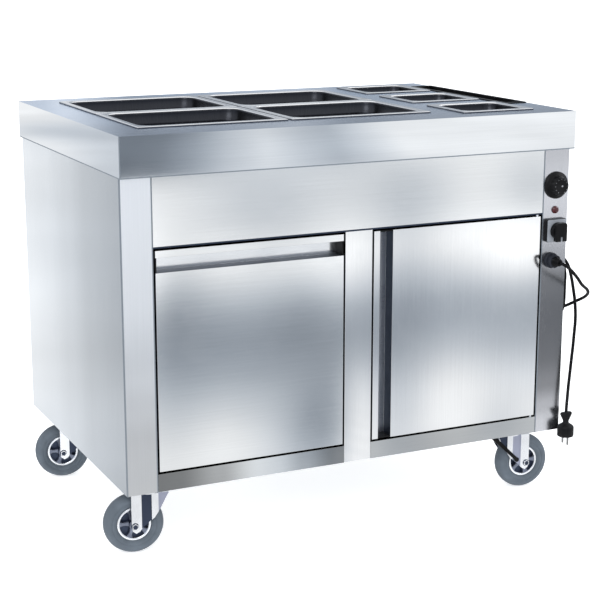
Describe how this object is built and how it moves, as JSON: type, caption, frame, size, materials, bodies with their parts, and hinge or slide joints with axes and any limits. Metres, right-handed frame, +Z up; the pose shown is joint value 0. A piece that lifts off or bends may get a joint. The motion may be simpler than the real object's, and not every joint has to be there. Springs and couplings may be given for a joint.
{
  "type": "steam table unit",
  "caption": "Stainless steel hot-holding counter on swivel casters with a wet well for pans, small sauce pans, a drawer, a hinged cupboard, controls on the front post and a corded plug.",
  "frame": {"origin": "on the floor, in the middle of the footprint of the unit without its cord and plug", "axes": "+Z up; the operator's side with the drawer, door and controls faces -Y; +X to the right seen from there"},
  "size_m": [1.0864, 0.773, 0.8753],
  "materials": {
    "stainless": "fine brushed grain",
    "worktop_steel": "satin, faint bluish",
    "pan_steel": "bright rolled rims, satin inside",
    "bright_zinc": "bright zinc plate",
    "black_plastic": "fine moulded texture",
    "dark_grey_plastic": "moulded, slightly glossy",
    "grey_tyre": "matte grey rubber",
    "lamp_red": "glossy dark red lens",
    "cord_black": "satin cable sheath"
  },
  "bodies": {
    "cabinet": {"worktop": "worktop_steel", "wet_well": "stainless", "pan_support_cross": "stainless", "sauce_well": "stainless", "utensil_trough": "black_plastic", "heating_element": "bright_zinc", "left_side_panel": "stainless", "right_side_panel": "stainless", "back_panel": "stainless", "control_panel": "stainless", "centre_post": "stainless", "fascia": "stainless", "base_panel": "stainless", "centre_partition": "stainless", "cupboard_shelf": "stainless", "runner_left": "bright_zinc", "runner_right": "bright_zinc", "door_pin_top": "bright_zinc", "door_pin_bottom": "bright_zinc", "thermostat_body": "dark_grey_plastic", "indicator_lamp": "lamp_red", "isolator_switch": "dark_grey_plastic", "cable_gland": "dark_grey_plastic", "cord_hook": "bright_zinc", "caster_plate_front_left": "bright_zinc", "caster_plate_front_right": "bright_zinc", "caster_plate_rear_left": "bright_zinc", "caster_plate_rear_right": "bright_zinc", "power_cord": "cord_black", "plug": "black_plastic"},
    "drawer": {"drawer_front": "stainless", "drawer_cap_left": "black_plastic", "drawer_cap_right": "black_plastic", "drawer_box": "stainless"},
    "door": {"door_panel": "stainless", "door_cap_bottom": "black_plastic", "door_cap_top": "black_plastic"},
    "thermostat": {"thermostat_knob": "black_plastic"},
    "isolator": {"isolator_handle": "black_plastic"},
    "pan_front_left_body": {"pan_front_left": "pan_steel"},
    "pan_front_right_body": {"pan_front_right": "pan_steel"},
    "pan_rear_left_body": {"pan_rear_left": "pan_steel"},
    "pan_rear_right_body": {"pan_rear_right": "pan_steel"},
    "small_pan_front_body": {"small_pan_front": "pan_steel"},
    "small_pan_middle_body": {"small_pan_middle": "pan_steel"},
    "small_pan_rear_body": {"small_pan_rear": "pan_steel"},
    "swivel_front_left": {"caster_fork_front_left": "bright_zinc"},
    "wheel_front_left": {"wheel_hub_front_left": "bright_zinc", "wheel_tyre_front_left": "grey_tyre"},
    "swivel_front_right": {"caster_fork_front_right": "bright_zinc"},
    "wheel_front_right": {"wheel_hub_front_right": "bright_zinc", "wheel_tyre_front_right": "grey_tyre"},
    "brake_front_right": {"brake_pedal_front_right": "black_plastic"},
    "swivel_rear_left": {"caster_fork_rear_left": "bright_zinc"},
    "wheel_rear_left": {"wheel_hub_rear_left": "bright_zinc", "wheel_tyre_rear_left": "grey_tyre"},
    "swivel_rear_right": {"caster_fork_rear_right": "bright_zinc"},
    "wheel_rear_right": {"wheel_hub_rear_right": "bright_zinc", "wheel_tyre_rear_right": "grey_tyre"},
    "brake_rear_right": {"brake_pedal_rear_right": "black_plastic"}
  },
  "joints": [
    {"name": "drawer_slide", "type": "slide", "parent": "cabinet", "child": "drawer", "axis": [0, -1, 0], "range_m": [0, 0.45]},
    {"name": "door_hinge", "type": "hinge", "parent": "cabinet", "child": "door", "pos_m": [0.43202, -0.3215, 0.421], "axis": [0, 0, 1], "range_deg": [0, 90]},
    {"name": "thermostat_turn", "type": "hinge", "parent": "cabinet", "child": "thermostat", "pos_m": [0.47352, -0.3275, 0.712], "axis": [0, 1, 0], "range_deg": [0, 300]},
    {"name": "isolator_turn", "type": "hinge", "parent": "cabinet", "child": "isolator", "pos_m": [0.47352, -0.3395, 0.614], "axis": [0, 1, 0], "range_deg": [0, 90]},
    {"name": "pan_front_left_lift", "type": "slide", "parent": "cabinet", "child": "pan_front_left_body", "axis": [0, 0, 1], "range_m": [0, 0.2]},
    {"name": "pan_front_right_lift", "type": "slide", "parent": "cabinet", "child": "pan_front_right_body", "axis": [0, 0, 1], "range_m": [0, 0.2]},
    {"name": "pan_rear_left_lift", "type": "slide", "parent": "cabinet", "child": "pan_rear_left_body", "axis": [0, 0, 1], "range_m": [0, 0.2]},
    {"name": "pan_rear_right_lift", "type": "slide", "parent": "cabinet", "child": "pan_rear_right_body", "axis": [0, 0, 1], "range_m": [0, 0.2]},
    {"name": "small_pan_front_lift", "type": "slide", "parent": "cabinet", "child": "small_pan_front_body", "axis": [0, 0, 1], "range_m": [0, 0.15]},
    {"name": "small_pan_middle_lift", "type": "slide", "parent": "cabinet", "child": "small_pan_middle_body", "axis": [0, 0, 1], "range_m": [0, 0.15]},
    {"name": "small_pan_rear_lift", "type": "slide", "parent": "cabinet", "child": "small_pan_rear_body", "axis": [0, 0, 1], "range_m": [0, 0.15]},
    {"name": "swivel_front_left_turn", "type": "hinge", "parent": "cabinet", "child": "swivel_front_left", "pos_m": [-0.44148, -0.2405, 0.14], "axis": [0, 0, 1], "continuous": true},
    {"name": "wheel_front_left_spin", "type": "hinge", "parent": "swivel_front_left", "child": "wheel_front_left", "pos_m": [-0.47398, -0.23477, 0.0625], "axis": [-0.1736, -0.9848, 0], "continuous": true},
    {"name": "swivel_front_right_turn", "type": "hinge", "parent": "cabinet", "child": "swivel_front_right", "pos_m": [0.42952, -0.2405, 0.14], "axis": [0, 0, 1], "continuous": true},
    {"name": "wheel_front_right_spin", "type": "hinge", "parent": "swivel_front_right", "child": "wheel_front_right", "pos_m": [0.46244, -0.2428, 0.0625], "axis": [0.0698, 0.9976, 0], "continuous": true},
    {"name": "brake_front_right_press", "type": "hinge", "parent": "swivel_front_right", "child": "brake_front_right", "pos_m": [0.4375, -0.24106, 0.0735], "axis": [-0.0698, -0.9976, 0], "range_deg": [0, 8]},
    {"name": "swivel_rear_left_turn", "type": "hinge", "parent": "cabinet", "child": "swivel_rear_left", "pos_m": [-0.44148, 0.2655, 0.14], "axis": [0, 0, 1], "continuous": true},
    {"name": "wheel_rear_left_spin", "type": "hinge", "parent": "swivel_rear_left", "child": "wheel_rear_left", "pos_m": [-0.47398, 0.27123, 0.0625], "axis": [-0.1736, -0.9848, 0], "continuous": true},
    {"name": "swivel_rear_right_turn", "type": "hinge", "parent": "cabinet", "child": "swivel_rear_right", "pos_m": [0.42952, 0.2655, 0.14], "axis": [0, 0, 1], "continuous": true},
    {"name": "wheel_rear_right_spin", "type": "hinge", "parent": "swivel_rear_right", "child": "wheel_rear_right", "pos_m": [0.46244, 0.2632, 0.0625], "axis": [0.0698, 0.9976, 0], "continuous": true},
    {"name": "brake_rear_right_press", "type": "hinge", "parent": "swivel_rear_right", "child": "brake_rear_right", "pos_m": [0.4375, 0.26494, 0.0735], "axis": [-0.0698, -0.9976, 0], "range_deg": [0, 8]}
  ]
}
